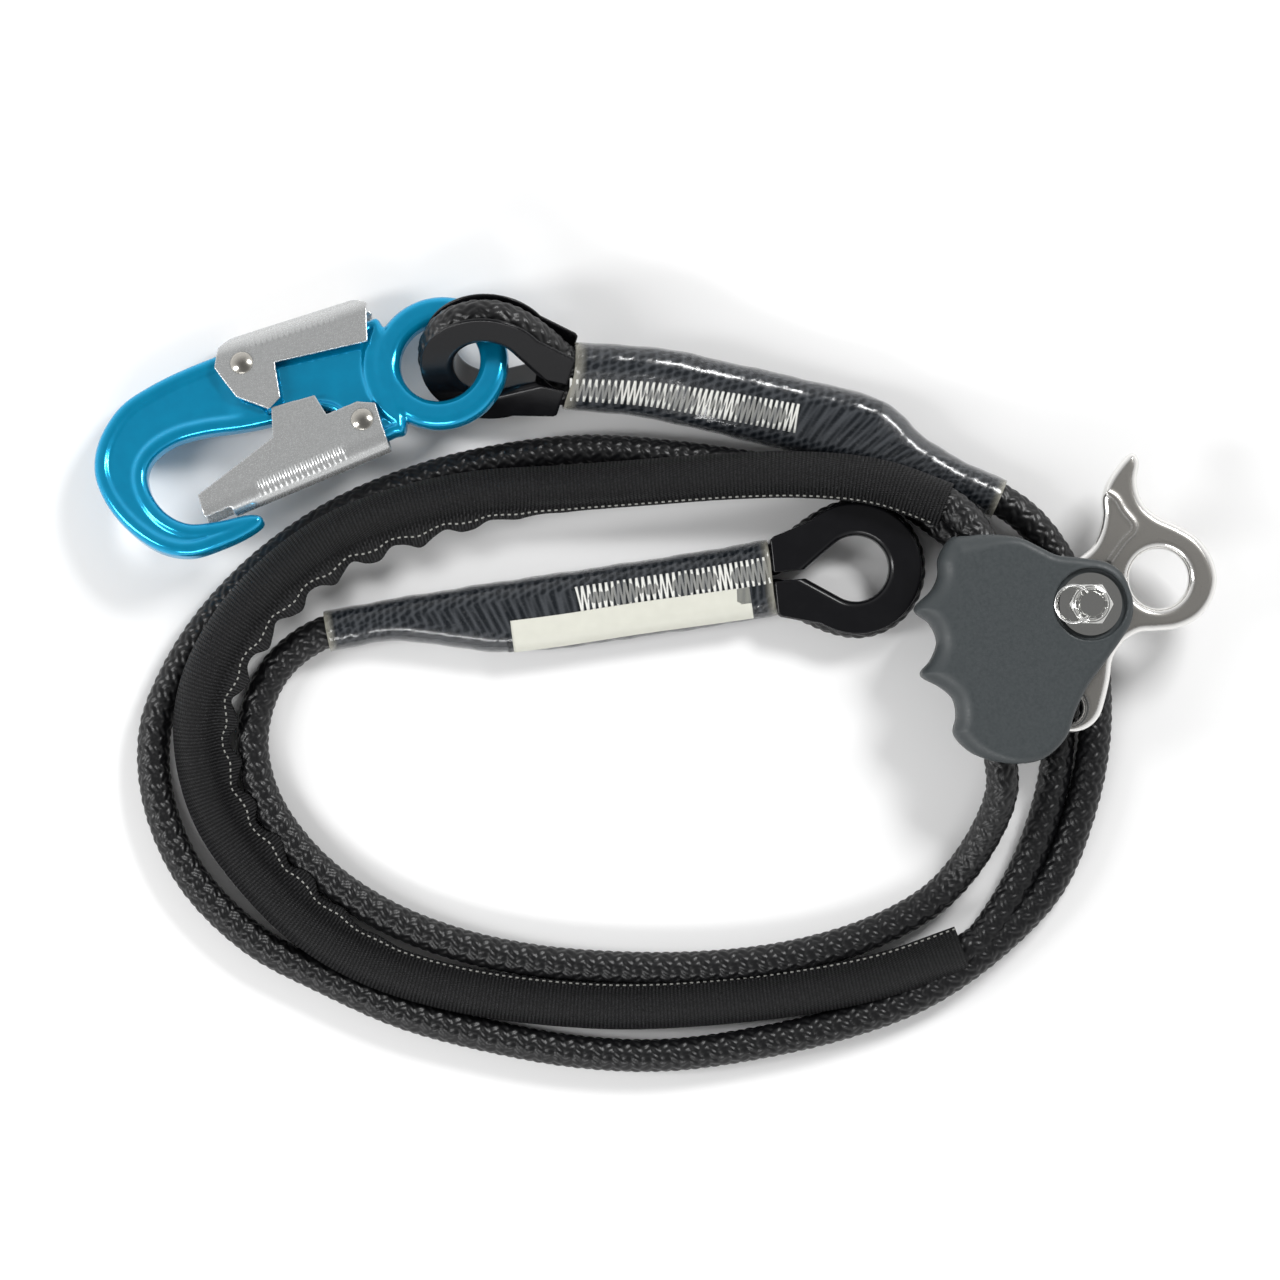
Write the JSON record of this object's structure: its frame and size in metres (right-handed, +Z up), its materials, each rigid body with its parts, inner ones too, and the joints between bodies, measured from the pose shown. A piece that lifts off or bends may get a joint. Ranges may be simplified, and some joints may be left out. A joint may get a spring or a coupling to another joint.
{
  "type": "rope grab positioning lanyard",
  "caption": "Coiled positioning lanyard with a cam rope grab, a double locking snap hook on a thimble eye, and a free thimble eye.",
  "frame": {"origin": "on the floor, under the middle of the box round the hook, the thimbles and the grab", "axes": "+Z up from the floor, +X from the snap hook towards the grab, +Y from the loops towards the hook"},
  "size_m": [0.3743, 0.2599, 0.0471],
  "materials": {
    "braided_rope": "glossy black braided polyester, round chevron plaits",
    "webbing": "charcoal black ribbed tubular webbing, matte",
    "pale_thread": "pale stitching thread",
    "white_thread": "white zigzag sewing thread",
    "clear_sleeve": "smoky clear heat-shrink tube, glossy",
    "label": "off-white printed label stock, left blank",
    "thimble_plastic": "gloss black moulded nylon",
    "slate_grip": "matte dark slate moulded polymer",
    "channel_steel": "stainless sheet",
    "zinc_steel": "bright zinc plated",
    "wire": "bright stainless wire",
    "cam_steel": "satin stainless faces with polished rounded edges",
    "bush_bronze": "sintered bronze",
    "spring_wire": "spring steel wire",
    "blue_aluminium": "gloss blue anodised forging",
    "gate_steel": "satin zinc plated sheet steel",
    "rivet_steel": "domed rivet heads, warm grey"
  },
  "bodies": {
    "lanyard": {"rope": "braided_rope", "chafe_sleeve": "webbing", "chafe_stitching": "pale_thread", "hook_splice_sleeve": "clear_sleeve", "hook_splice_stitching": "white_thread", "tail_splice_sleeve": "clear_sleeve", "tail_splice_stitching": "white_thread", "data_label": "label", "hook_thimble": "thimble_plastic", "tail_thimble": "thimble_plastic", "finger_grip": "slate_grip", "steel_channel": "channel_steel", "axle_bolt": "zinc_steel", "head_washer": "zinc_steel", "nut_washer": "zinc_steel", "castle_nut": "zinc_steel", "split_ring": "wire", "cam_spring": "spring_wire"},
    "cam": {"cam_arm": "cam_steel", "cam_bush": "bush_bronze"},
    "hook": {"hook_body": "blue_aluminium", "gate_rivet": "rivet_steel", "lock_rivet": "rivet_steel", "gate_spring": "spring_wire", "lock_spring": "spring_wire"},
    "gate": {"gate": "gate_steel"},
    "lock": {"lock_lever": "gate_steel"}
  },
  "joints": [
    {"name": "cam_pivot", "type": "hinge", "parent": "lanyard", "child": "cam", "pos_m": [0.1446, -0.0253, 0.026], "axis": [0, 0, 1], "range_deg": [0, 25], "stiffness_Nm_per_rad": 0.12, "springref_deg": -20.05, "deforming": ["cam_spring"]},
    {"name": "hook_swing", "type": "hinge", "parent": "lanyard", "child": "hook", "pos_m": [-0.0711, 0.055, 0.0182], "axis": [0, 0, 1], "range_deg": [-12, 0]},
    {"name": "gate_pivot", "type": "hinge", "parent": "hook", "child": "gate", "pos_m": [-0.0963, 0.03478, 0.02037], "axis": [0.1227, -0.2556, -0.959], "range_deg": [0, 24], "stiffness_Nm_per_rad": 0.1, "springref_deg": -20.05, "deforming": ["gate_spring"]},
    {"name": "lock_pivot", "type": "hinge", "parent": "hook", "child": "lock", "pos_m": [-0.13669, 0.05344, 0.01022], "axis": [0.1227, -0.2556, -0.959], "range_deg": [0, 6], "stiffness_Nm_per_rad": 0.1, "springref_deg": -11.46, "deforming": ["lock_spring"]}
  ],
  "couplings": [
    {"joint": "lock_pivot", "follows": "gate_pivot", "ratio": 0.25}
  ]
}
